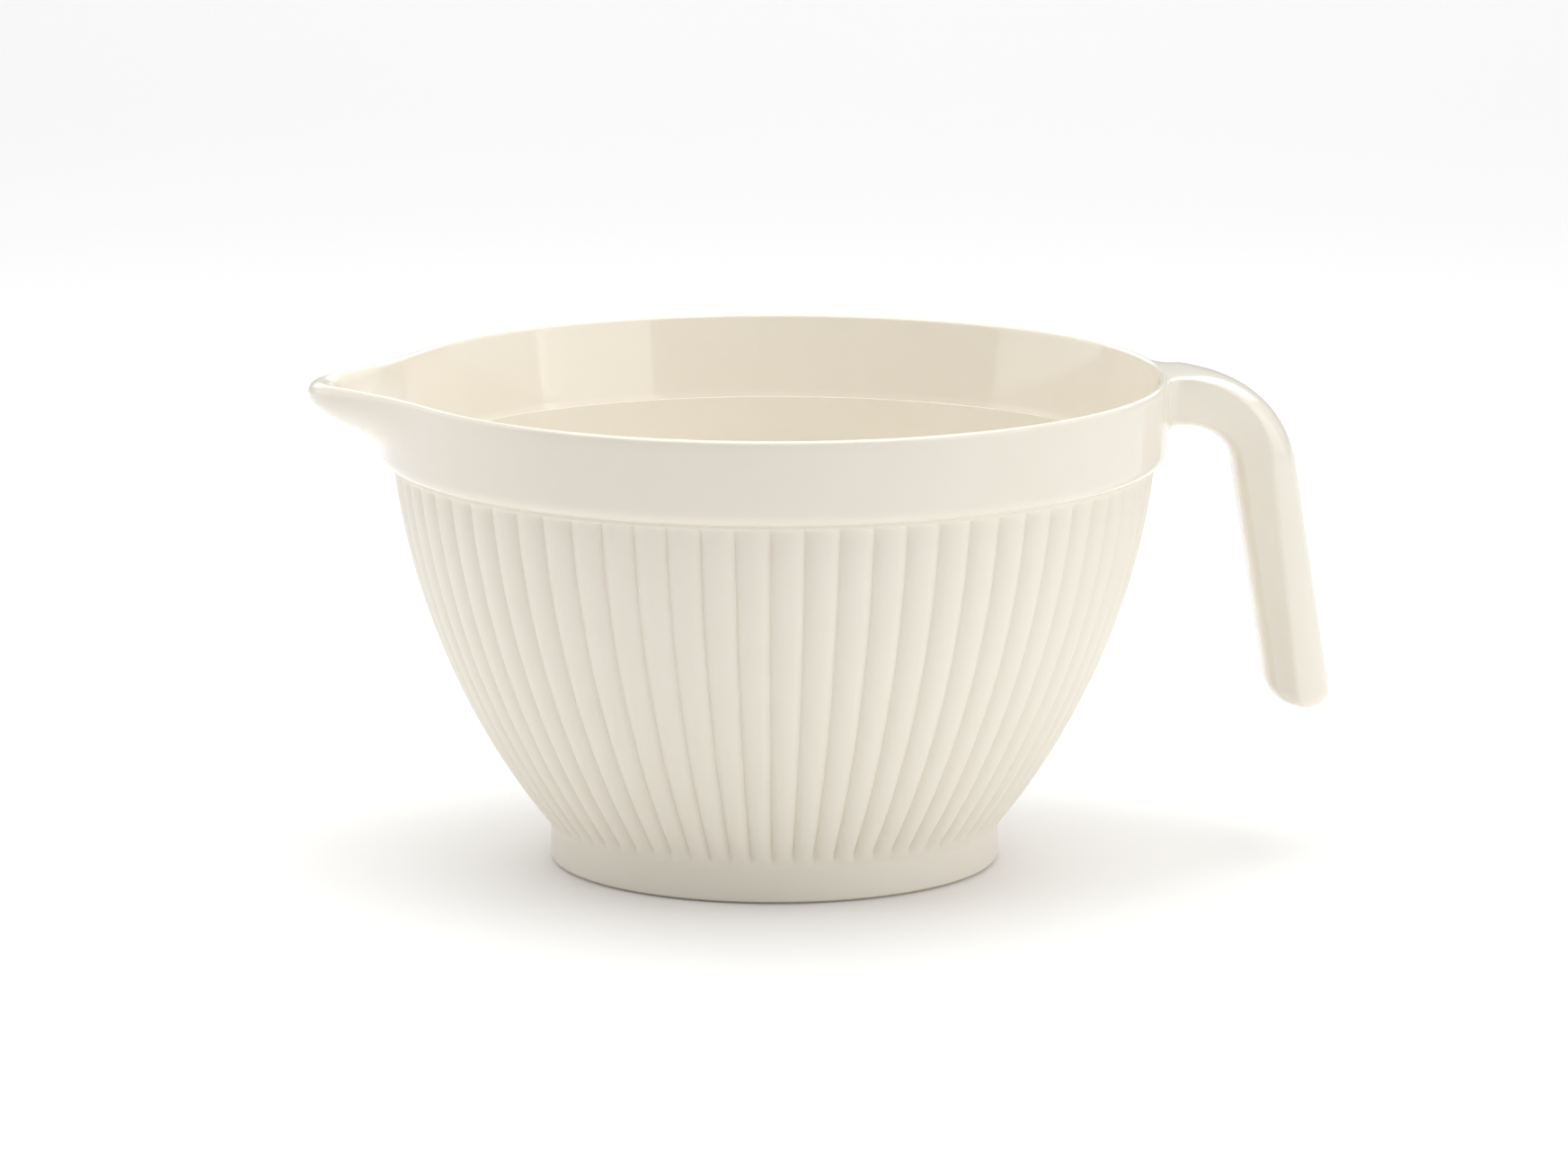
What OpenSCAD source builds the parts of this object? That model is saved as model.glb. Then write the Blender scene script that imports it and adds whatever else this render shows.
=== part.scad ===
// Mixing bowl with a pouring spout, a reeded wall and a hooked side handle.
// The origin is on the bowl's axis, on the surface it stands on. +Z is up,
// +X runs out along the handle and -X out along the spout.

/* [Bowl] */
// Outside diameter of the rim
rim_d = 210; // [190:1:230]
// Height of the rim above the surface
rim_h = 131; // [122:1:145]
// Wall thickness
wall = 3; // [2.5:0.1:3.5]
// Height of the plain collar under the rim, down to its rounded lower edge
collar_h = 18.5; // [15:0.5:22]
// How far the reeded wall is set in behind the collar
collar_step = 3.5; // [3:0.1:4]
// Radius of the wall's curve, seen from the side
wall_curve_r = 190; // [175:1:220]

/* [Foot] */
// Outside diameter of the foot
foot_d = 120; // [112:1:128]
// Height of the plain foot band
foot_h = 10; // [8:0.5:12]
// Radial width of the foot ring
foot_w = 6; // [5.6:0.1:7]
// Radial width of the non-slip ring set into the foot
ring_w = 2.6; // [2:0.1:3]
// How far the non-slip ring goes into the foot
ring_in = 2; // [1.5:0.1:2.4]
// How far the non-slip ring stands proud of the foot
ring_proud = 0.6; // [0.4:0.1:1]

/* [Reeds] */
// Number of reeds round the wall
reeds = 70; // [50:2:80]
// Depth of the groove between two reeds
groove_depth = 0.8; // [0.5:0.1:1]
// Radius of the groove's round bottom
groove_r = 1.5; // [1.2:0.1:2]

/* [Spout] */
// How far the spout's tip stands out beyond the rim
spout_reach = 19; // [14:1:24]
// Plan radius of the tip
spout_tip_r = 16; // [13:1:20]
// Plan radius of the hollow curve from the tip's sides to the rim
spout_blend_r = 150; // [110:5:200]
// Height over which the spout's underside sweeps back to the collar
spout_h = 18; // [16:0.5:18]

/* [Handle] */
// Width of the handle
handle_w = 28; // [24:1:32]
// Thickness where it leaves the collar
handle_root_t = 14; // [12:0.5:15]
// Thickness of the hanging arm
handle_arm_t = 17; // [15:0.5:18]
// How far the free end stands out beyond the rim
handle_reach = 45.5; // [42:0.5:50]
// Height of the free end above the surface
handle_end_z = 40; // [34:1:55]
// Lean of the arm away from upright, in degrees
handle_lean = 9; // [6:1:10]
// Outer radius of the bend
bend_out_r = 30; // [26:1:32]
// Inner radius of the bend
bend_in_r = 14; // [11:1:15]

/* [Hidden] */

rim_r = rim_d / 2;
foot_r = foot_d / 2;
foot_z = ring_proud;                    // underside of the foot
foot_recess = 2.6;                      // depth of the recess inside the foot ring
floor_under_z = foot_z + foot_recess;   // underside of the bowl's floor
floor_z = floor_under_z + wall;         // inside floor
lip_t = 2.4;                            // thickness of the lip
lip_edge_r = 0.8;                       // rounding of the lip's outer edge
spout_edge_t = 4.4;                     // thickness of the spout's edge
scoop_rise = 1.5;                       // how much shallower the spout's scoop is than its underside
collar_z = rim_h - collar_h;            // where the collar's lower edge starts to round
collar_edge_r = 4;                      // radius of that edge
body_top_z = collar_z - collar_edge_r;  // top of the reeded wall
body_top_r = rim_r - collar_step;
ring_shift = 0.4;                       // the non-slip ring sits this far outside the foot's middle
ring_in_r = foot_r - (foot_w + ring_w) / 2 + ring_shift;
over = 1;                               // how far a cutting shape runs past what it cuts
fine = 240;                             // $fn of the round shapes

// Centre of the wall's curve: a circle of wall_curve_r through the foot's top edge
// and the top of the reeded wall
wall_chord = [body_top_r - foot_r, body_top_z - foot_h];
wall_centre = [body_top_r + foot_r, body_top_z + foot_h] / 2
  + [-wall_chord[1], wall_chord[0]] / norm(wall_chord)
    * sqrt(pow(wall_curve_r, 2) - pow(norm(wall_chord) / 2, 2));

// Radius of the wall's inside at its top, and the collar's slanted inner face just outside it
wall_in_r = wall_centre[0] + sqrt(pow(wall_curve_r - wall, 2) - pow(body_top_z - wall_centre[1], 2));
crease_step = 0.3;
crease_r = wall_in_r + crease_step;

// The grooves stop this far short of the collar and of the foot band
reed_top_gap = 1.3;
reed_foot_gap = 2;
// Angles round the wall's centre between which the grooves run
reed_top_a = asin((body_top_z - reed_top_gap - wall_centre[1]) / wall_curve_r);
reed_foot_a = asin((foot_h + reed_foot_gap - wall_centre[1]) / wall_curve_r);

function lerp(a, b, t) = a + (b - a) * t;

// ---- spout ----
// Plan outline: a circle at the tip, a hollow circle on each side and the round rim,
// all tangent to each other. inset moves it inwards by a wall's thickness.
tip_x = rim_r + spout_reach - spout_tip_r;
blend_dist = rim_r + spout_blend_r;
blend_a = acos((pow(blend_dist, 2) + pow(tip_x, 2) - pow(spout_tip_r + spout_blend_r, 2))
  / (2 * blend_dist * tip_x));
blend_c = blend_dist * [cos(blend_a), sin(blend_a)];
tip_join = [tip_x, 0] + (blend_c - [tip_x, 0]) * spout_tip_r / (spout_tip_r + spout_blend_r);
buried = 0.4;                           // how far the spout's edges run into the collar
scoop_root = 12;                        // how far inside the rim the spout's scoop starts

module spout_plan(inset) {
  rim_join = (rim_r - inset) * [cos(blend_a), sin(blend_a)];
  translate([tip_x, 0]) circle(r = spout_tip_r - inset, $fn = 96);
  difference() {
    polygon([[rim_r / 2, 0], rim_join, tip_join, [tip_join[0], -tip_join[1]], [rim_join[0], -rim_join[1]]]);
    for (side = [-1, 1])
      translate([blend_c[0], side * blend_c[1]]) circle(r = spout_blend_r + inset + buried, $fn = 720);
  }
}

// How much of the reach is left at depth t of the spout's height: 1 at the rim, 0 at its foot
function spout_fade(t) = pow(cos(90 * pow(t, 1.25)), 2);

// Side outline of the spout, from the collar out: root_r is inside the collar's wall
module spout_side(root_r, inset, height, top_z) {
  steps = 9;
  skin_r = rim_r - inset - buried;
  polygon(concat(
    [for (i = [steps : -1 : 0]) let (t = i / steps)
      [skin_r + (spout_reach + buried) * spout_fade(t), rim_h - height * t]],
    [[skin_r + spout_reach + buried, top_z], [root_r, top_z], [root_r, rim_h - height]]));
}

module spout_solid(root_r, inset, height, top_z) {
  half = blend_a + 2 * over;
  rotate([0, 0, 180])
    intersection() {
      translate([0, 0, rim_h - height - over])
        linear_extrude(top_z - rim_h + height + 2 * over) spout_plan(inset);
      rotate([0, 0, -half])
        rotate_extrude(angle = 2 * half, $fn = fine) spout_side(root_r, inset, height, top_z);
    }
}

// ---- bowl ----
module bowl_outside() {
  intersection() {
    translate(wall_centre) circle(r = wall_curve_r, $fn = 2 * fine);
    translate([0, foot_h]) square([rim_r, body_top_z - foot_h]);
  }
  translate([0, foot_z]) square([foot_r, foot_h - foot_z + buried]);
  translate([0, body_top_z - buried]) square([rim_r - collar_edge_r, collar_edge_r + 2 * buried]);
  translate([rim_r - collar_edge_r, collar_z]) circle(r = collar_edge_r, $fn = 64);
  translate([0, collar_z]) square([rim_r, collar_h - lip_edge_r]);
  translate([0, rim_h - lip_t]) square([rim_r - lip_edge_r, lip_t]);
  translate([rim_r - lip_edge_r, rim_h - lip_edge_r]) circle(r = lip_edge_r, $fn = 48);
}

module bowl_hollow() {
  intersection() {
    translate(wall_centre) circle(r = wall_curve_r - wall, $fn = 2 * fine);
    translate([0, floor_z]) square([rim_r, body_top_z - floor_z]);
  }
  polygon([[0, body_top_z], [crease_r, body_top_z], [rim_r - lip_t, rim_h - lip_t / 2],
    [rim_r - lip_t, rim_h + over], [0, rim_h + over]]);
}

module foot_hollow() {
  translate([0, foot_z - over]) square([foot_r - foot_w, foot_recess + over]);
  translate([ring_in_r, foot_z - over]) square([ring_w, ring_in + over]);
}

module grooves() {
  for (i = [0 : reeds - 1])
    rotate([0, 0, 360 * (i + 0.5) / reeds])
      translate([wall_centre[0], 0, wall_centre[1]])
        rotate([90, 0, 0])
          rotate([0, 0, reed_foot_a])
            rotate_extrude(angle = reed_top_a - reed_foot_a, $fn = fine)
              translate([wall_curve_r + groove_r - groove_depth, 0]) circle(r = groove_r, $fn = 24);
}

module bowl() {
  color([0.91, 0.88, 0.80])
    difference() {
      union() {
        rotate_extrude($fn = fine) bowl_outside();
        spout_solid(rim_r - lip_t / 2, 0, spout_h, rim_h);
      }
      rotate_extrude($fn = fine) union() {
        bowl_hollow();
        foot_hollow();
      }
      spout_solid(rim_r - scoop_root, spout_edge_t, spout_h - scoop_rise, rim_h + 2 * over);
      grooves();
    }
}

// Skin over a list of closed rings with the same number of points, closed at both ends
module loft(rings) {
  n = len(rings[0]);
  m = len(rings);
  polyhedron(
    points = [for (ring = rings) each ring],
    faces = concat(
      [[for (i = [n - 1 : -1 : 0]) i]],
      [for (j = [0 : m - 2]) for (i = [0 : n - 1]) let (k = (i + 1) % n)
        each [[j * n + i, j * n + k, (j + 1) * n + k], [j * n + i, (j + 1) * n + k, (j + 1) * n + i]]],
      [[for (i = [0 : n - 1]) (m - 1) * n + i]]),
    convexity = 6);
}

// ---- handle: a bar swept along a bend and a leaning arm ----
arm_dir = [sin(handle_lean), -cos(handle_lean)];
arm_out = [cos(handle_lean), sin(handle_lean)];
bend_out_z = rim_h - bend_out_r;
bend_in_z = rim_h - handle_root_t - bend_in_r;
bend_out_x = rim_r + handle_reach - bend_out_r * arm_out[0]
  - (bend_out_z + bend_out_r * arm_out[1] - handle_end_z) * tan(handle_lean);
bend_in_x = bend_out_x - (handle_arm_t - bend_out_r + bend_in_r
  - (bend_out_z - bend_in_z) * arm_out[1]) / arm_out[0];
end_out_r = 3;                          // radius of the free end's outer corner
end_in_r = 9;                           // radius of its inner corner
end_side_r = 5;                         // rounding of its two sides
root_in = 5;                            // the bar is drawn from this far inside the rim, then cut flush
root_out = 2;                           // and runs straight until this far outside it

function bend_out(a) = [bend_out_x, bend_out_z] + bend_out_r * [cos(a), sin(a)];
function bend_in(a) = [bend_in_x, bend_in_z] + bend_in_r * [cos(a), sin(a)];
// The point of a line from p along the arm at height z
function on_arm(p, z) = p + arm_dir * (z - p[1]) / arm_dir[1];

// The outer face is crowned: it is almost flat at the collar and rounder towards the free end.
// These are the crown's heights, as shares of the bar's thickness.
crown_root = 0.03;
crown_bend = 0.3;
crown_end = 0.48;
crown_edge = 20;                        // turn left between the crown and the sides, in degrees
corner_share = 0.14;                    // radius of the two inner corners, as a share of the thickness
bend_steps = 10;

// Section between an outer and an inner point: a crowned outer face, flat sides, round inner corners
function bar_section(p_out, p_in, width, crown) =
  let (thick = norm(p_out - p_in), half_w = width / 2, corner = corner_share * thick, n = 6,
    half_loop = concat(
      [for (i = [0 : n]) let (a = lerp(90, crown_edge, i / n))
        [crown * thick * (1 - sin(a)) / (1 - sin(crown_edge)), half_w * cos(a) / cos(crown_edge)]],
      [for (a = [0 : 30 : 90]) [thick - corner * (1 - sin(a)), half_w - corner * (1 - cos(a))]]),
    loop = concat(half_loop, [for (i = [len(half_loop) - 1 : -1 : 1]) [half_loop[i][0], -half_loop[i][1]]]))
    [for (p = loop) let (q = lerp(p_out, p_in, p[0] / thick)) [q[0], p[1], q[1]]];

module handle_bar() {
  arm_top_out = bend_out(handle_lean);
  arm_top_in = bend_in(handle_lean);
  end_out_z = handle_end_z + end_out_r;
  end_in_z = handle_end_z + end_in_r;
  end_out = on_arm(arm_top_out, end_out_z);
  end_in = on_arm(arm_top_in, end_in_z);
  loft(concat(
    [for (x = [rim_r - root_in, rim_r + root_out])
      bar_section([x, rim_h], [x, rim_h - handle_root_t], handle_w, crown_root)],
    [for (i = [0 : bend_steps]) let (t = i / bend_steps, a = lerp(90, handle_lean, t))
      bar_section(bend_out(a), bend_in(a), handle_w, lerp(crown_root, crown_bend, t))],
    [for (t = [1 / 3, 2 / 3, 1])
      bar_section(lerp(arm_top_out, end_out, t), lerp(arm_top_in, end_in, t), handle_w,
        lerp(crown_bend, crown_end, t))],
    [for (i = [1 : 6]) let (a = 15 * i)
      bar_section(
        end_out + [-end_out_r * (1 - cos(a)), -end_out_r * sin(a)],
        end_in + [end_in_r * (1 - cos(a)), -end_in_r * sin(a)],
        handle_w - 2 * end_side_r * (1 - cos(a)), crown_end)]));
}

module handle() {
  color([0.92, 0.89, 0.82])
    difference() {
      handle_bar();
      translate([0, 0, -over]) cylinder(r = rim_r, h = rim_h + 2 * over, $fn = fine);
    }
}

// ---- soft ring pressed into the foot, on which the bowl stands ----
module non_slip_ring() {
  color([0.82, 0.80, 0.75])
    rotate_extrude($fn = fine)
      translate([ring_in_r, 0]) square([ring_w, ring_in + ring_proud]);
}

bowl();
handle();
non_slip_ring();
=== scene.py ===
"""Looks of a spouted, reeded mixing bowl moulded in cream melamine.

The part's frame: the origin is on the bowl's axis on the worktop, +Z is up, +X runs out
along the handle and -X along the spout. Sizes below are in millimetres unless they say so.
"""
import math

import bpy
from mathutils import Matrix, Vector


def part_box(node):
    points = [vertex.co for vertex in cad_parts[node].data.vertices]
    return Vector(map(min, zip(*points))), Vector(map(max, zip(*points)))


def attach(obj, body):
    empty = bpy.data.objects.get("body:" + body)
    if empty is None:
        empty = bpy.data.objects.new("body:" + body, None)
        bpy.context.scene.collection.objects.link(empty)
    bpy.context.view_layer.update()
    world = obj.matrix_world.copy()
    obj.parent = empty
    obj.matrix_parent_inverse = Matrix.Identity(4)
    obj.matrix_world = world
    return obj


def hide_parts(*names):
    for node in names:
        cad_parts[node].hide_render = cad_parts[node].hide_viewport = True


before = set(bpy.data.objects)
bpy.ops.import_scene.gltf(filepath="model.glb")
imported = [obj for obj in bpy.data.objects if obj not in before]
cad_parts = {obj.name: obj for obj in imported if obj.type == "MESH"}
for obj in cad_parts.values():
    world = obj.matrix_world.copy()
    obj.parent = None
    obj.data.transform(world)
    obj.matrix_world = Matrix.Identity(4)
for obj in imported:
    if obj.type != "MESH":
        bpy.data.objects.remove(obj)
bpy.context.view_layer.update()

MM = 0.001


def box_mm(node):
    """Lowest and highest corner of a CAD node, in millimetres."""
    low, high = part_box(node)
    return [v / MM for v in low], [v / MM for v in high]


bowl_low, bowl_high = box_mm("bowl")
handle_low, handle_high = box_mm("handle")
ring_low, ring_high = box_mm("non_slip_ring")

# ---- sizes of the bowl ----
RIM_R = bowl_high[1]                  # outside radius of the rim
RIM_Z = bowl_high[2]                  # top of the lip
FOOT_Z = bowl_low[2]                  # underside of the foot
SPOUT_REACH = -bowl_low[0] - RIM_R    # how far the tip stands out beyond the rim
WALL = 3.0                            # wall thickness
LIP_T = 2.4                           # thickness of the rounded lip
LIP_TIP_T = 7.0                       # thickness of the lip at the spout's tip
LIP_TIP_DROP = 2.6                    # how much deeper its rounding goes there on the inside
LIP_TIP_EDGE = 1.8                    # and on the outside
COLLAR_H = 18.5                       # plain collar, down to its rounded lower edge
COLLAR_EDGE_R = 4.0                   # radius of that edge
COLLAR_STEP = 3.5                     # the wall is set in behind the collar by this
WALL_CURVE_R = 190.0                  # radius of the wall's curve, seen from the side
FOOT_R = 60.0                         # outside radius of the foot band
FOOT_H = 10.0                         # height of the foot band's top above the worktop
FOOT_W = 6.0                          # width of the foot ring underneath
FOOT_EDGE_R = 0.8                     # rounding of the foot's outer lower edge
FOOT_FILLET_R = 2.5                   # hollow curve between the foot band and the wall
RECESS_DEPTH = 2.6                    # recess inside the foot ring
RECESS_TOP_R, RECESS_EDGE_R = 0.8, 0.5    # rounding of the recess's top corner and lower edge
FLOOR_UNDER_Z = FOOT_Z + RECESS_DEPTH
FLOOR_Z = FLOOR_UNDER_Z + WALL
FLOOR_CORNER_R = 12.0                 # hollow corner between the inside wall and the floor
CREASE_STEP = 0.3                     # small step at the foot of the collar's inner face

COLLAR_Z = RIM_Z - COLLAR_H
WALL_TOP_Z = COLLAR_Z - COLLAR_EDGE_R
WALL_TOP_R = RIM_R - COLLAR_STEP
LIP_R = LIP_T / 2
LIP_LOW_Z = RIM_Z - LIP_R             # where the lip's half round starts

# ---- soft ring and its groove in the foot ----
RING_W = 2.6                          # width of the ring
RING_SOFT_R = 0.5                     # rounding of the ring's lower edges
GROOVE_OUT_R = ring_high[0]
GROOVE_IN_R = GROOVE_OUT_R - RING_W
GROOVE_TOP_Z = ring_high[2]
GROOVE_EDGE = 0.1                     # tiny chamfer of the groove's edges

# ---- reeds ----
REEDS = 70                            # how many go round the bowl
# Places of the mesh's columns over one reed, closer together towards the grooves
REED_COLUMNS = (-0.5, -0.465, -0.42, -0.33, -0.19, 0.0, 0.19, 0.33, 0.42, 0.465)
GROOVE_DEPTH = 1.4                    # depth of the groove between two reeds
REED_POWER = 2.7                      # 2 is a round reed, more is a flatter crown
REED_TOP_Z = WALL_TOP_Z - 1.3         # the grooves end just short of the collar
REED_FOOT_Z = FOOT_H + 0.8            # and of the foot band
REED_FOOT_RISE = 2.2                  # height over which they deepen from the foot band up
REED_FADE_LOW, REED_FADE_HIGH = -0.1, 0.3    # they fade out between these heights round REED_TOP_Z
REED_TOP_GAP = 0.35                   # spacing of the mesh's rows there

# ---- spout, seen from above ----
SPOUT_TIP_R = 16.0                    # radius of the tip
SPOUT_BLEND_R = 150.0                 # radius of the hollow curves that join it to the rim
SPOUT_H = 18.0                        # height of the spout's underside
SCOOP_H = 17.0                        # depth of its channel
SPOUT_SWEEP = 1.25                    # more keeps the spout fuller near the rim

# ---- handle ----
HANDLE_W = handle_high[1] - handle_low[1]    # width of the bar
HANDLE_ROOT_T = 14.0                  # its thickness at the collar
HANDLE_ARM_T = 17.0                   # and in the hanging arm
HANDLE_REACH = 45.5                   # the outer face runs out this far beyond the rim at the end
HANDLE_END_Z = handle_low[2]
HANDLE_LEAN = math.radians(9)         # the arm leans out by this as it goes down
BEND_OUT_R, BEND_IN_R = 30.0, 14.0    # radius of the bend's outer and inner curve
END_OUT_R, END_IN_R = 3.0, 9.0        # radius of the free end's outer and inner corner
END_SIDE_R = 5.0                      # rounding of its two sides
CROWN_EDGE = math.radians(20)         # turn left between the crowned outer face and the sides
# Height of the crown as a share of the thickness, at the collar, under the bend and at the end
CROWN_ROOT, CROWN_BEND, CROWN_END = 0.03, 0.45, 0.58
# Rounding of the edge between the crown and the sides, at the same places
EDGE_R_ROOT, EDGE_R_ARM, EDGE_R_END = 0.6, 2.0, 0.6
ARM_TAPER = 3.0                       # each side of the arm draws in by this towards the inner face
CORNER_DEEP = 3.0                     # the two inner corners are rounded by this along the sides
CORNER_WIDE = 8.0                     # and by this along the inner face
CORNER_SHARE = 0.3                    # and by no more than this share of the thickness
FLARE_TURN = math.radians(58)         # how far the flare at the collar turns before its crisp edge
FLARE_TOP, FLARE_FOOT = 6.4, 2.8      # radius of the flare at the top and at the underside
FLARE_DROP = 5.0                      # how far the flare runs down the collar below the bar
FLARE_EDGE = 0.6                      # length of the crisp edge, out along the bar
# Sections of the flare: below 0 they are inside the collar, at 0 on it and at 1 on the crisp edge
FLARE_STEPS = (-1.0, -0.5, 0.0, 0.15, 0.3, 0.45, 0.6, 0.75, 0.9, 0.98, 1.0)


def lerp(a, b, t):
    return a + (b - a) * t


def ease(low, high, x):
    """0 below low, 1 above high and smooth between."""
    t = min(1.0, max(0.0, (x - low) / (high - low)))
    return t * t * (3 - 2 * t)


def steps(a, b, count):
    """count + 1 even steps from a to b."""
    return [lerp(a, b, i / count) for i in range(count + 1)]


# Centre of the wall's curve, through the foot band's top edge and the wall's top
chord = Vector((WALL_TOP_R - FOOT_R, WALL_TOP_Z - FOOT_H))
middle = Vector((WALL_TOP_R + FOOT_R, WALL_TOP_Z + FOOT_H)) / 2
wall_centre = middle + Vector((-chord.y, chord.x)).normalized() * math.sqrt(
    WALL_CURVE_R ** 2 - (chord.length / 2) ** 2)


def on_wall(z, inset=0.0):
    """Radius of the wall's curve at height z, moved in by inset."""
    return wall_centre.x + math.sqrt((WALL_CURVE_R - inset) ** 2 - (z - wall_centre.y) ** 2)


def wall_point(z, inset=0.0):
    return on_wall(z, inset), z


# ---- spout outline ----
tip_x = RIM_R + SPOUT_REACH - SPOUT_TIP_R
blend_dist = RIM_R + SPOUT_BLEND_R
blend_angle = math.acos((blend_dist ** 2 + tip_x ** 2 - (SPOUT_TIP_R + SPOUT_BLEND_R) ** 2)
                        / (2 * blend_dist * tip_x))
blend_centre = Vector((blend_dist * math.cos(blend_angle), blend_dist * math.sin(blend_angle)))
tip_join = Vector((tip_x, 0)) + (blend_centre - Vector((tip_x, 0))) * SPOUT_TIP_R / (
    SPOUT_TIP_R + SPOUT_BLEND_R)
tip_join_angle = math.atan2(tip_join.y, tip_join.x)


def spout_out(turn):
    """How far the rim stands out beyond its circle, at an angle from the spout's centre line."""
    turn = abs(turn)
    if turn >= blend_angle:
        return 0.0
    if turn <= tip_join_angle:
        centre, radius, side = Vector((tip_x, 0)), SPOUT_TIP_R, 1
    else:
        centre, radius, side = blend_centre, SPOUT_BLEND_R, -1
    ray = Vector((math.cos(turn), math.sin(turn)))
    along = ray.dot(centre)
    return along + side * math.sqrt(radius ** 2 - centre.length_squared + along ** 2) - RIM_R


def spout_fade(drop, height):
    """Share of the spout's reach that is left at a drop below the rim."""
    t = min(1.0, max(0.0, drop / height))
    return math.cos(math.pi / 2 * t ** SPOUT_SWEEP) ** 2


def arc(centre, radius, start, end, count):
    """Points of an arc, with angles in degrees."""
    turns = [math.radians(a) for a in steps(start, end, count)]
    return [(centre[0] + radius * math.cos(a), centre[1] + radius * math.sin(a)) for a in turns]


def wall_arc(start_z, end_z, inset, count):
    """Points of the wall's curve between two heights, moved in by inset."""
    radius = WALL_CURVE_R - inset
    start, end = (math.degrees(math.asin((z - wall_centre.y) / radius)) for z in (start_z, end_z))
    return arc(wall_centre, radius, start, end, count)


def fillet(corner, before, after, radius, count):
    """Arc of that radius that rounds a corner between two neighbouring points."""
    corner = Vector(corner)
    a = (Vector(before) - corner).normalized()
    b = (Vector(after) - corner).normalized()
    half = math.acos(max(-1.0, min(1.0, a.dot(b)))) / 2
    centre = corner + (a + b).normalized() * radius / math.sin(half)
    start = corner + a * radius / math.tan(half)
    end = corner + b * radius / math.tan(half)
    u, v = start - centre, end - centre
    angle = u.angle(v)
    out = []
    for t in steps(0, 1, count):
        p = centre + (u * math.sin((1 - t) * angle) + v * math.sin(t * angle)) / math.sin(angle)
        out.append((p.x, p.y))
    return out


# ---- bowl ----
def bowl_rows():
    """The bowl's section, from the middle of the underside round to the middle of the inside.

    Each row is (radius, height, part): the part says how the spout and the reeds act on it.
    """
    rows = []

    def add(points, part):
        rows.extend((r, z, part) for r, z in points)

    # Underside, from the middle outwards
    recess_r = FOOT_R - FOOT_W
    add([(r, FLOOR_UNDER_Z) for r in (8, 28, 46)], "under")
    add(fillet((recess_r, FLOOR_UNDER_Z), (0, FLOOR_UNDER_Z), (recess_r, FOOT_Z), RECESS_TOP_R, 3), "under")
    add(fillet((recess_r, FOOT_Z), (recess_r, FLOOR_UNDER_Z), (FOOT_R, FOOT_Z), RECESS_EDGE_R, 3), "under")
    add([(GROOVE_IN_R - GROOVE_EDGE, FOOT_Z), (GROOVE_IN_R, FOOT_Z + GROOVE_EDGE),
         (GROOVE_IN_R, GROOVE_TOP_Z), (GROOVE_OUT_R, GROOVE_TOP_Z),
         (GROOVE_OUT_R, FOOT_Z + GROOVE_EDGE), (GROOVE_OUT_R + GROOVE_EDGE, FOOT_Z)], "under")

    # Foot band, up to the hollow curve under the wall
    add(arc((FOOT_R - FOOT_EDGE_R, FOOT_Z + FOOT_EDGE_R), FOOT_EDGE_R, -90, 0, 4), "foot")
    add([(FOOT_R, z) for z in (0.3 * FOOT_H, 0.6 * FOOT_H)], "foot")
    above_foot = wall_point(FOOT_H + 4)
    add(fillet((FOOT_R, FOOT_H), (FOOT_R, 0), above_foot, FOOT_FILLET_R, 4), "foot")

    # Reeded wall, with rows closer together where the grooves start and end
    add([wall_point(FOOT_H + rise) for rise in (1.6, 2.4, 3.4)], "wall")
    add(wall_arc(FOOT_H + 5, REED_TOP_Z - 1.5, 0, 26), "wall")
    add([wall_point(REED_TOP_Z + rise) for rise in (-REED_TOP_GAP, 0, REED_TOP_GAP)], "wall")
    add([wall_point(WALL_TOP_Z - REED_TOP_GAP)], "wall")

    # Collar: its rounded lower edge, its face and the full-round lip
    add(arc((RIM_R - COLLAR_EDGE_R, COLLAR_Z), COLLAR_EDGE_R, -84, 0, 8), "collar")
    add([(RIM_R, z) for z in steps(COLLAR_Z, LIP_LOW_Z, 8)[1:-1]], "collar")
    add(arc((RIM_R - LIP_R, LIP_LOW_Z), LIP_R, 0, 180, 10), "lip")

    # Inner face of the collar, slanting down to a small step at the top of the wall
    crease_r = on_wall(WALL_TOP_Z, WALL) + CREASE_STEP
    add([(lerp(RIM_R - LIP_T, crease_r, t), lerp(LIP_LOW_Z, WALL_TOP_Z, t)) for t in steps(0, 1, 11)[1:-1]],
        "scoop")
    add([(crease_r + 0.1 * CREASE_STEP, WALL_TOP_Z + CREASE_STEP / 2),
         (crease_r - CREASE_STEP / 6, WALL_TOP_Z - CREASE_STEP / 15),
         (crease_r - CREASE_STEP, WALL_TOP_Z - CREASE_STEP / 2)], "inside")

    # Inside wall, the hollow corner and the floor
    add(wall_arc(WALL_TOP_Z - 1, FLOOR_Z + 11, WALL, 16), "inside")
    corner, above_corner = wall_point(FLOOR_Z, WALL), wall_point(FLOOR_Z + 8, WALL)
    add(fillet(corner, above_corner, (0, FLOOR_Z), FLOOR_CORNER_R, 7), "inside")
    add([(r, FLOOR_Z) for r in (36, 20, 6)], "inside")
    return rows


def reed_dip(along, z):
    """Depth of a reed's side below its crown; along runs from -0.5 to 0.5 over one reed."""
    foot_end = ease(REED_FOOT_Z, REED_FOOT_Z + REED_FOOT_RISE, z)
    top_end = 1 - ease(REED_TOP_Z + REED_FADE_LOW, REED_TOP_Z + REED_FADE_HIGH, z)
    return GROOVE_DEPTH * foot_end * top_end * abs(2 * along) ** REED_POWER


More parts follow.
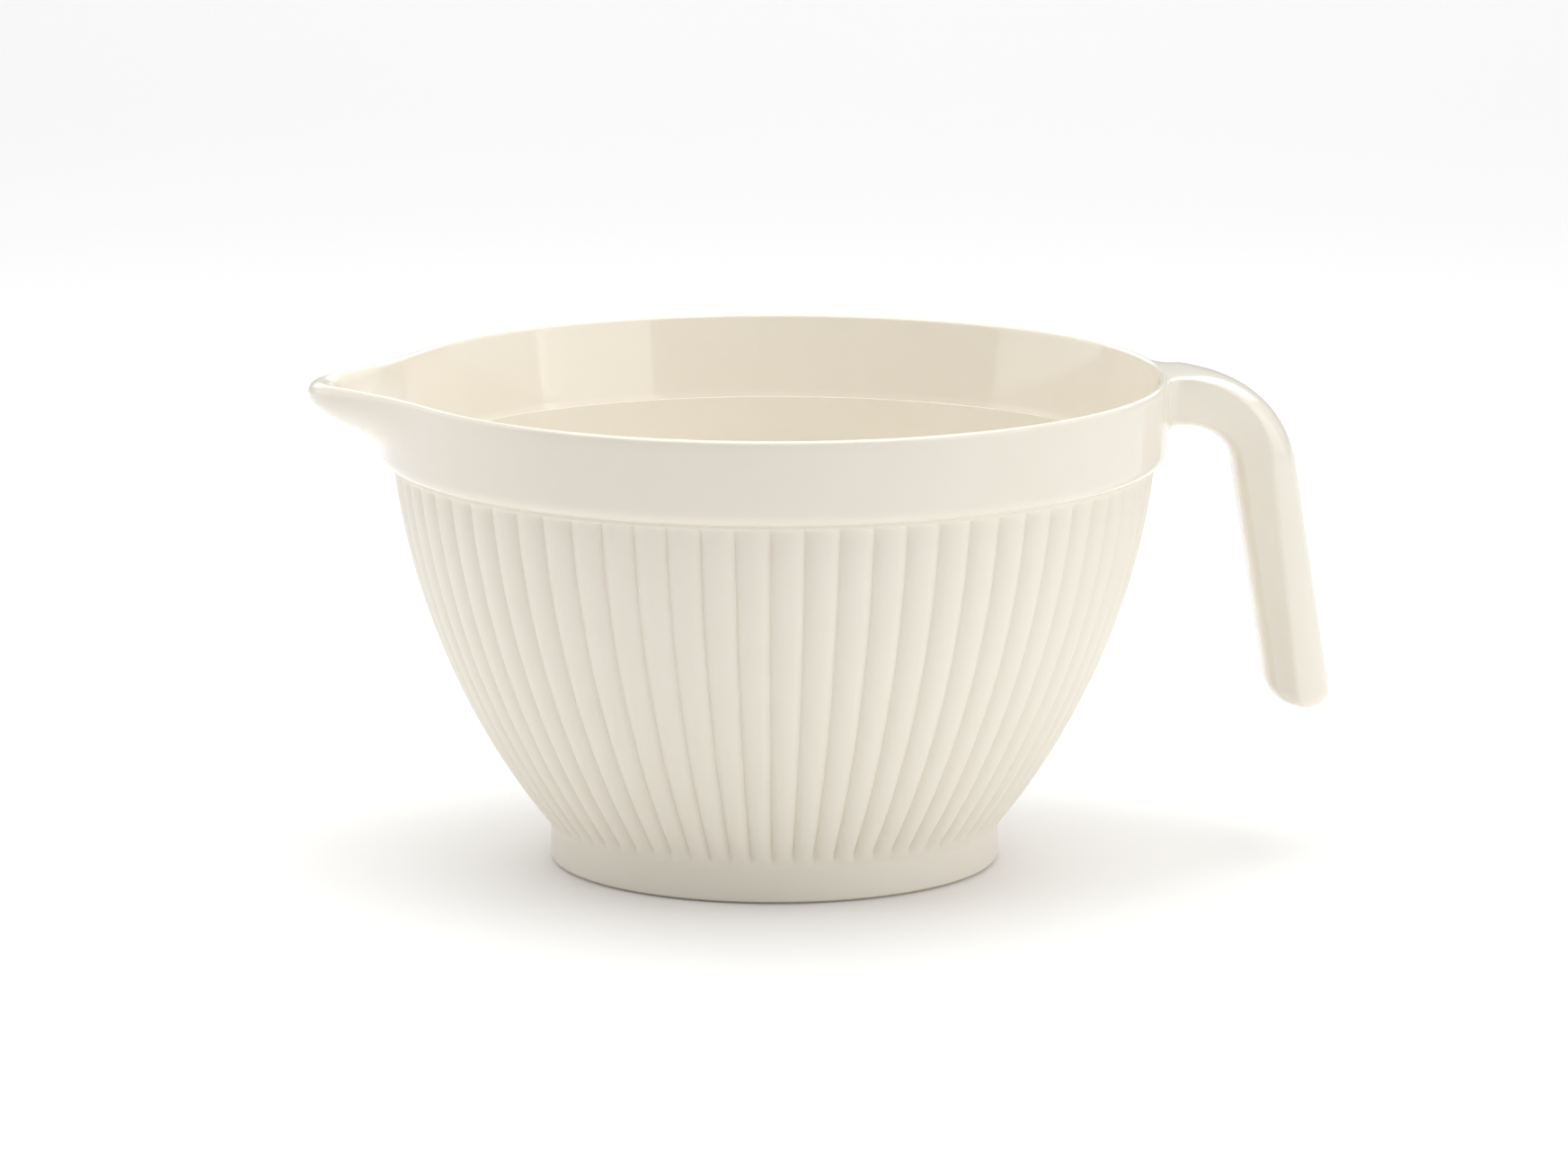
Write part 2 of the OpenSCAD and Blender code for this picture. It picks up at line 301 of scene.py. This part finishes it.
def bowl_point(row, turn, along):
    """A point of the bowl's skin, where turn is the angle from the handle's side."""
    r, z, part = row
    if part == "wall":
        slope = math.asin((z - wall_centre.y) / WALL_CURVE_R)
        dip = reed_dip(along, z)
        r, z = r - dip * math.cos(slope), z - dip * math.sin(slope)
    elif part in ("collar", "lip", "scoop"):
        out = spout_out(math.pi - abs(turn))
        share = out / SPOUT_REACH
        thick = lerp(LIP_T, LIP_TIP_T, share)
        if part == "collar":
            r += out * spout_fade(RIM_Z - z, SPOUT_H)
            z -= LIP_TIP_EDGE * share * max(0.0, z - COLLAR_Z) / (LIP_LOW_Z - COLLAR_Z)
        elif part == "lip":
            # The lip's half round is stretched to the spout's thicker and deeper edge
            from_outside = (RIM_R - r) / LIP_T
            drop = LIP_TIP_DROP if from_outside > 0.5 else LIP_TIP_EDGE
            r = RIM_R + out * spout_fade(RIM_Z - z, SPOUT_H) - thick * from_outside
            z -= drop * share * (RIM_Z - z) / LIP_R
        else:
            r += (out + LIP_T - thick) * spout_fade(LIP_LOW_Z - z, SCOOP_H)
            z -= LIP_TIP_DROP * share * (z - WALL_TOP_Z) / (LIP_LOW_Z - WALL_TOP_Z)
    return Vector((r * math.cos(turn), r * math.sin(turn), z)) * MM


SHARP_ANGLE = math.radians(34)        # edges that turn more than this stay crisp
GLOSS, SATIN = 0, 1                   # the bowl's two finishes, in the order of its materials


def new_piece(name, points, faces, slots=None):
    """A smooth-shaded object; slots gives each face's material."""
    mesh = bpy.data.meshes.new(name)
    mesh.from_pydata(points, [], faces)
    if slots:
        mesh.polygons.foreach_set("material_index", slots)
    mesh.shade_smooth()
    mesh.set_sharp_from_angle(angle=SHARP_ANGLE)
    piece = bpy.data.objects.new(name, mesh)
    bpy.context.scene.collection.objects.link(piece)
    return piece


def skin(name, rings, start_pole, end_pole, ring_slots=None):
    """A closed mesh over rings of points, each with the same number, and a point at each end."""
    count = len(rings[0])
    last = len(rings) - 1
    points = [p for ring in rings for p in ring] + [start_pole, end_pole]
    ring_slots = ring_slots or [0] * len(rings)
    faces, slots = [], []
    for i in range(count):
        k = (i + 1) % count
        faces.append((len(points) - 2, k, i))
        slots.append(ring_slots[0])
        faces.append((len(points) - 1, last * count + i, last * count + k))
        slots.append(ring_slots[-1])
    for j in range(last):
        for i in range(count):
            k = (i + 1) % count
            faces.append((j * count + i, j * count + k, (j + 1) * count + k, (j + 1) * count + i))
            slots.append(ring_slots[j])
    return new_piece(name, points, faces, slots)


def make_bowl():
    """The bowl, with the satin finish on the reeded wall and the foot band."""
    rows = bowl_rows()
    columns = [(2 * math.pi * (k + along) / REEDS, along) for k in range(REEDS) for along in REED_COLUMNS]
    columns = [((turn + math.pi) % (2 * math.pi) - math.pi, along) for turn, along in columns]
    rings = [[bowl_point(row, turn, along) for turn, along in columns] for row in rows]
    slots = [SATIN if part in ("wall", "foot") else GLOSS for r, z, part in rows]
    under_middle, inside_middle = (Vector((0, 0, z)) * MM for z in (FLOOR_UNDER_Z, FLOOR_Z))
    return skin("bowl_shell", rings, under_middle, inside_middle, slots)


# ---- handle: a bar that leaves the collar, bends over and hangs ----
arm_dir = Vector((math.sin(HANDLE_LEAN), -math.cos(HANDLE_LEAN)))
arm_out = Vector((math.cos(HANDLE_LEAN), math.sin(HANDLE_LEAN)))
bend_out_z = RIM_Z - BEND_OUT_R
bend_in_z = RIM_Z - HANDLE_ROOT_T - BEND_IN_R
bend_out_x = (RIM_R + HANDLE_REACH - BEND_OUT_R * arm_out.x
              - (bend_out_z + BEND_OUT_R * arm_out.y - HANDLE_END_Z) * math.tan(HANDLE_LEAN))
bend_in_x = bend_out_x - (HANDLE_ARM_T - BEND_OUT_R + BEND_IN_R
                          - (bend_out_z - bend_in_z) * arm_out.y) / arm_out.x


def half_section(width, thick, crown, edge_r, taper):
    """Half of the bar's section as (depth, side): an arched crown, a flat side, a round corner."""
    half_w, high = width / 2, crown * thick
    inner_w = half_w - taper
    turns = steps(math.pi / 2, CROWN_EDGE, 12)
    arch = [(high * (1 - math.sin(a)) / (1 - math.sin(CROWN_EDGE)),
             half_w * math.cos(a) / math.cos(CROWN_EDGE)) for a in turns]
    edge = fillet((high, half_w), arch[-2], (thick, inner_w), edge_r, 5)
    # The arch stops where the edge's rounding starts; every section keeps the same count of points
    crown_points = [p for p in arch if p[1] < edge[0][1]]
    crown_points += [edge[0]] * (len(turns) - len(crown_points))
    deep = min(CORNER_DEEP, CORNER_SHARE * thick)
    wide = CORNER_WIDE * deep / CORNER_DEEP
    corner = [(thick - deep * (1 - math.sin(a)), inner_w - wide * (1 - math.cos(a)))
              for a in steps(0, math.pi / 2, 9)]
    middle = tuple(lerp(a, b, 0.5) for a, b in zip(edge[-1], corner[0]))
    return crown_points + edge[1:] + [middle] + corner + [(thick, corner[-1][1] / 2), (thick, 0)]


def section(width, thick, crown, edge_r, taper):
    """Whole section as (depth, side) points: depth is from the outer face to the inner one."""
    half = half_section(width, thick, crown, edge_r, taper)
    return half + [(depth, -side) for depth, side in half[-2:0:-1]]


def bar_ring(p_out, p_in, width, crown, edge_r, taper):
    """Section between an outer and an inner point of the bar's side view."""
    thick = (p_in - p_out).length
    ring = []
    for depth, side in section(width, thick, crown, edge_r, taper):
        p = p_out.lerp(p_in, depth / thick)
        ring.append(Vector((p.x, side, p.y)) * MM)
    return ring


def root_ring(share):
    """Section at the collar: share 0 lies on the collar and 1 is the flare's crisp edge."""
    ring = []
    turn = FLARE_TURN * max(0.0, share)
    for depth, side in section(HANDLE_W, HANDLE_ROOT_T, CROWN_ROOT, EDGE_R_ROOT, 0):
        down, across = depth / HANDLE_ROOT_T, 2 * side / HANDLE_W
        radius = lerp(FLARE_TOP, FLARE_FOOT, down)
        spread = math.sin(FLARE_TURN) - math.sin(turn)
        off = radius * (1 - math.cos(turn)) + min(0.0, share) * LIP_R
        # The flare spreads sideways towards its corners, and down in its lower half only
        y = side + math.copysign(radius * spread * abs(across) ** 3, side)
        z = RIM_Z - depth - FLARE_DROP * spread * max(0.0, 2 * down - 1) ** 3
        ring.append(Vector((math.sqrt((RIM_R + off) ** 2 - y ** 2), y, z)) * MM)
    return ring


def bend_points(a):
    """The outer and the inner point of the bend at an angle from level."""
    way = Vector((math.cos(a), math.sin(a)))
    centre_out, centre_in = Vector((bend_out_x, bend_out_z)), Vector((bend_in_x, bend_in_z))
    return centre_out + BEND_OUT_R * way, centre_in + BEND_IN_R * way


def along_arm(p, z):
    """The point at height z on a line from p along the arm."""
    return p + arm_dir * ((z - p.y) / arm_dir.y)


def middle_of(ring):
    return sum(ring, Vector()) / len(ring)


def make_handle():
    """The flare on the collar, the bend, the hanging arm and its rounded free end."""
    rings = [root_ring(share) for share in FLARE_STEPS]
    start_x = RIM_R + FLARE_TOP * (1 - math.cos(FLARE_TURN)) + FLARE_EDGE
    start_out, start_in = Vector((start_x, RIM_Z)), Vector((start_x, RIM_Z - HANDLE_ROOT_T))
    rings.append(bar_ring(start_out, start_in, HANDLE_W, CROWN_ROOT, EDGE_R_ROOT, 0))
    for t in steps(0, 1, 28):
        p_out, p_in = bend_points(lerp(math.pi / 2, HANDLE_LEAN, t))
        rings.append(bar_ring(p_out, p_in, HANDLE_W, lerp(CROWN_ROOT, CROWN_BEND, t),
                              lerp(EDGE_R_ROOT, EDGE_R_ARM, t), lerp(0, ARM_TAPER, t)))
    top_out, top_in = bend_points(HANDLE_LEAN)
    end_out = along_arm(top_out, HANDLE_END_Z + END_OUT_R)
    end_in = along_arm(top_in, HANDLE_END_Z + END_IN_R)
    for t in steps(0, 1, 12)[1:]:
        rings.append(bar_ring(top_out.lerp(end_out, t), top_in.lerp(end_in, t), HANDLE_W,
                              lerp(CROWN_BEND, CROWN_END, t), EDGE_R_ARM, ARM_TAPER))
    for a in steps(0, math.pi / 2, 12)[1:]:
        fall, draw = math.sin(a), 1 - math.cos(a)
        p_out = end_out - END_OUT_R * Vector((draw, fall))
        p_in = end_in + END_IN_R * Vector((draw, -fall))
        rings.append(bar_ring(p_out, p_in, HANDLE_W - 2 * END_SIDE_R * draw, CROWN_END,
                              lerp(EDGE_R_ARM, EDGE_R_END, draw), ARM_TAPER * (1 - draw)))
    return skin("handle_bar", rings, middle_of(rings[0]), middle_of(rings[-1]))


def make_ring():
    """Soft ring in the foot: square in section, with its lower edges rounded."""
    r0, r1, z0, z1 = GROOVE_IN_R, GROOVE_OUT_R, ring_low[2], ring_high[2]
    soft = RING_SOFT_R
    outline = [(r0, z1), (r0, z0 + soft)]
    outline += arc((r0 + soft, z0 + soft), soft, 180, 270, 4)
    outline += arc((r1 - soft, z0 + soft), soft, 270, 360, 4)
    outline.append((r1, z1))
    n, around = len(outline), 240
    turns = [2 * math.pi * i / around for i in range(around)]
    points = [Vector((r * math.cos(a), r * math.sin(a), z)) * MM for a in turns for r, z in outline]
    faces = []
    for i in range(around):
        this, following = i * n, (i + 1) % around * n
        for j in range(n):
            k = (j + 1) % n
            faces.append((this + j, this + k, following + k, following + j))
    return new_piece("soft_ring", points, faces)


# ---- materials ----
def colour(hex_value):
    """Linear RGBA of an sRGB hex colour."""
    channels = [int(hex_value[i:i + 2], 16) / 255 for i in (1, 3, 5)]
    return tuple(c / 12.92 if c <= 0.04045 else ((c + 0.055) / 1.055) ** 2.4 for c in channels) + (1.0,)


def add_node(tree, kind, inputs=(), **settings):
    """Adds a node: settings are its own, and inputs are values or the sockets that feed it."""
    node = tree.nodes.new("ShaderNode" + kind)
    for key, value in settings.items():
        setattr(node, key, value)
    for key, value in dict(inputs).items():
        if isinstance(value, bpy.types.NodeSocket):
            tree.links.new(value, node.inputs[key])
        else:
            node.inputs[key].default_value = value
    return node


def new_material(name):
    material = bpy.data.materials.new(name)
    material.use_nodes = True
    material.node_tree.nodes.clear()
    return material, material.node_tree


def moulded_melamine(name, cream, deep_cream, roughness_low, roughness_high, peel):
    """Compression-moulded melamine: hard, opaque and cream, with the faint mottle of its
    cellulose filler and a very slight orange peel from the mould, of height peel in mm."""
    material, tree = new_material(name)
    place = add_node(tree, "TexCoord").outputs["Object"]
    # the filler's mottle is about 12 mm across
    mottle = add_node(tree, "TexNoise", {
        "Vector": place, "Scale": 1 / (12 * MM), "Detail": 3.0, "Roughness": 0.6})
    body = add_node(tree, "Mix", {"Factor": mottle.outputs["Fac"]}, data_type="RGBA")
    body.inputs[6].default_value = colour(cream)
    body.inputs[7].default_value = colour(deep_cream)
    # handling leaves slightly duller patches, about 25 mm across
    patches = add_node(tree, "TexNoise", {
        "Vector": place, "Scale": 1 / (25 * MM), "Detail": 4.0, "Roughness": 0.65})
    rough = add_node(tree, "MapRange", {
        "Value": patches.outputs["Fac"], "From Min": 0.3, "From Max": 0.7,
        "To Min": roughness_low, "To Max": roughness_high})
    # orange peel with waves about 3 mm long
    waves = add_node(tree, "TexNoise", {"Vector": place, "Scale": 1 / (3 * MM), "Detail": 2.0})
    relief = add_node(tree, "Bump", {"Height": waves.outputs["Fac"], "Strength": 1.0, "Distance": peel * MM})
    shader = add_node(tree, "BsdfPrincipled", {
        "Base Color": body.outputs[2], "Roughness": rough.outputs["Result"],
        "Normal": relief.outputs["Normal"], "IOR": 1.55, "Metallic": 0.0})
    add_node(tree, "OutputMaterial", {"Surface": shader.outputs["BSDF"]})
    return material


def soft_rubber(name):
    """Moulded thermoplastic rubber: matt, pale and slightly dusty to the eye."""
    material, tree = new_material(name)
    place = add_node(tree, "TexCoord").outputs["Object"]
    # a fine grain of about 1.2 mm
    grain = add_node(tree, "TexNoise", {"Vector": place, "Scale": 1 / (1.2 * MM), "Detail": 3.0})
    body = add_node(tree, "Mix", {"Factor": grain.outputs["Fac"]}, data_type="RGBA")
    body.inputs[6].default_value = colour("#CFC9BC")
    body.inputs[7].default_value = colour("#BDB6A8")
    relief = add_node(tree, "Bump", {"Height": grain.outputs["Fac"], "Strength": 1.0, "Distance": 0.02 * MM})
    shader = add_node(tree, "BsdfPrincipled", {
        "Base Color": body.outputs[2], "Roughness": 0.8, "Normal": relief.outputs["Normal"], "IOR": 1.5})
    add_node(tree, "OutputMaterial", {"Surface": shader.outputs["BSDF"]})
    return material


def white_sheet(name):
    """Opal acrylic sheet under the object, matt and lit a little from below."""
    material, tree = new_material(name)
    shader = add_node(tree, "BsdfPrincipled", {
        "Base Color": colour("#FAFAFA"), "Roughness": 0.6, "IOR": 1.49,
        "Emission Color": colour("#FFFFFF"), "Emission Strength": 0.05})
    add_node(tree, "OutputMaterial", {"Surface": shader.outputs["BSDF"]})
    return material


CREAM, DEEP_CREAM = "#F3EDE0", "#F1EADC"
# Polished mould faces give the gloss; the reeds and the foot come out of the mould satin
gloss_melamine = moulded_melamine("gloss_melamine", CREAM, DEEP_CREAM, 0.06, 0.10, peel=0.002)
satin_melamine = moulded_melamine("satin_melamine", CREAM, DEEP_CREAM, 0.36, 0.44, peel=0.006)
pale_rubber = soft_rubber("pale_rubber")
white_acrylic = white_sheet("white_acrylic")

# ---- the object ----
bowl_shell = make_bowl()
bowl_shell.data.materials.append(gloss_melamine)
bowl_shell.data.materials.append(satin_melamine)
handle_bar = make_handle()
handle_bar.data.materials.append(gloss_melamine)
soft_ring = make_ring()
soft_ring.data.materials.append(pale_rubber)

for piece, node, slot in ((bowl_shell, "bowl", "bowl_shell"), (handle_bar, "handle", "handle"),
                          (soft_ring, "non_slip_ring", "soft_ring")):
    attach(piece, "root")
    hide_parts(node)

# ---- floor ----
FLOOR_SIZE = 12.0                     # in metres
half = FLOOR_SIZE / 2
floor_mesh = bpy.data.meshes.new("floor")
floor_corners = [(-half, -half, 0), (half, -half, 0), (half, half, 0), (-half, half, 0)]
floor_mesh.from_pydata(floor_corners, [], [(0, 1, 2, 3)])
floor = bpy.data.objects.new("floor", floor_mesh)
floor.data.materials.append(white_acrylic)
bpy.context.scene.collection.objects.link(floor)

# ---- camera ----
CAMERA_TURN = math.radians(4.6)       # the spout is turned this much towards the camera
CAMERA_DISTANCE = 2147.5              # along the floor, from the bowl's axis
CAMERA_HEIGHT = 486.9                 # above the floor
CAMERA_SIDE = 2.6                     # the aim passes this far to the right of the axis
CAMERA_DIP = math.radians(10.904)     # the aim falls below level by this
LENS = 187.7                          # in mm

ahead = Vector((math.sin(CAMERA_TURN), math.cos(CAMERA_TURN), 0))
right = Vector((math.cos(CAMERA_TURN), -math.sin(CAMERA_TURN), 0))
camera_data = bpy.data.cameras.new("camera")
camera_data.lens = LENS
camera_data.sensor_width = 36
camera_data.clip_end = 50             # in metres
camera = bpy.data.objects.new("camera", camera_data)
camera.location = (-ahead * CAMERA_DISTANCE + right * CAMERA_SIDE + Vector((0, 0, CAMERA_HEIGHT))) * MM
look = ahead * math.cos(CAMERA_DIP) - Vector((0, 0, math.sin(CAMERA_DIP)))
camera.rotation_euler = look.to_track_quat("-Z", "Y").to_euler()
bpy.context.scene.collection.objects.link(camera)
bpy.context.scene.camera = camera


# ---- light ----
def to_world(place):
    """A place given as right, ahead and up from the origin, as the camera stands, in mm."""
    return (right * place[0] + ahead * place[1] + Vector((0, 0, place[2]))) * MM


def softbox(name, place, target, width, height, watts):
    """A rectangular softbox that faces its target."""
    data = bpy.data.lights.new(name, "AREA")
    data.shape, data.size, data.size_y = "RECTANGLE", width * MM, height * MM
    data.energy = watts
    lamp = bpy.data.objects.new(name, data)
    lamp.location = to_world(place)
    lamp.rotation_euler = (to_world(target) - to_world(place)).to_track_quat("-Z", "Y").to_euler()
    bpy.context.scene.collection.objects.link(lamp)


WORLD_STRENGTH = 0.32
# Name, place, target, width, height and power; places and sizes in mm, power in watts
SOFTBOXES = (
    ("key_right", (3000, -1800, 1040), (0, 0, 120), 2600, 1800, 23.0),
    ("overhead", (0, 0, 1300), (0, 0, 0), 1600, 1400, 17.5),
    ("back", (0, 2250, 1100), (0, 2000, 0), 3200, 1500, 17.0),
    ("side_right", (2800, 400, 800), (0, 0, 60), 2400, 1400, 8.0),
    ("side_left", (-1400, 200, 400), (0, 0, 60), 1200, 700, 3.0),
)
for box in SOFTBOXES:
    softbox(*box)

world = bpy.data.worlds.new("studio")
world.use_nodes = True
world.node_tree.nodes["Background"].inputs["Color"].default_value = colour("#FFFFFF")
world.node_tree.nodes["Background"].inputs["Strength"].default_value = WORLD_STRENGTH
bpy.context.scene.world = world

bpy.context.scene.view_settings.view_transform = "Standard"
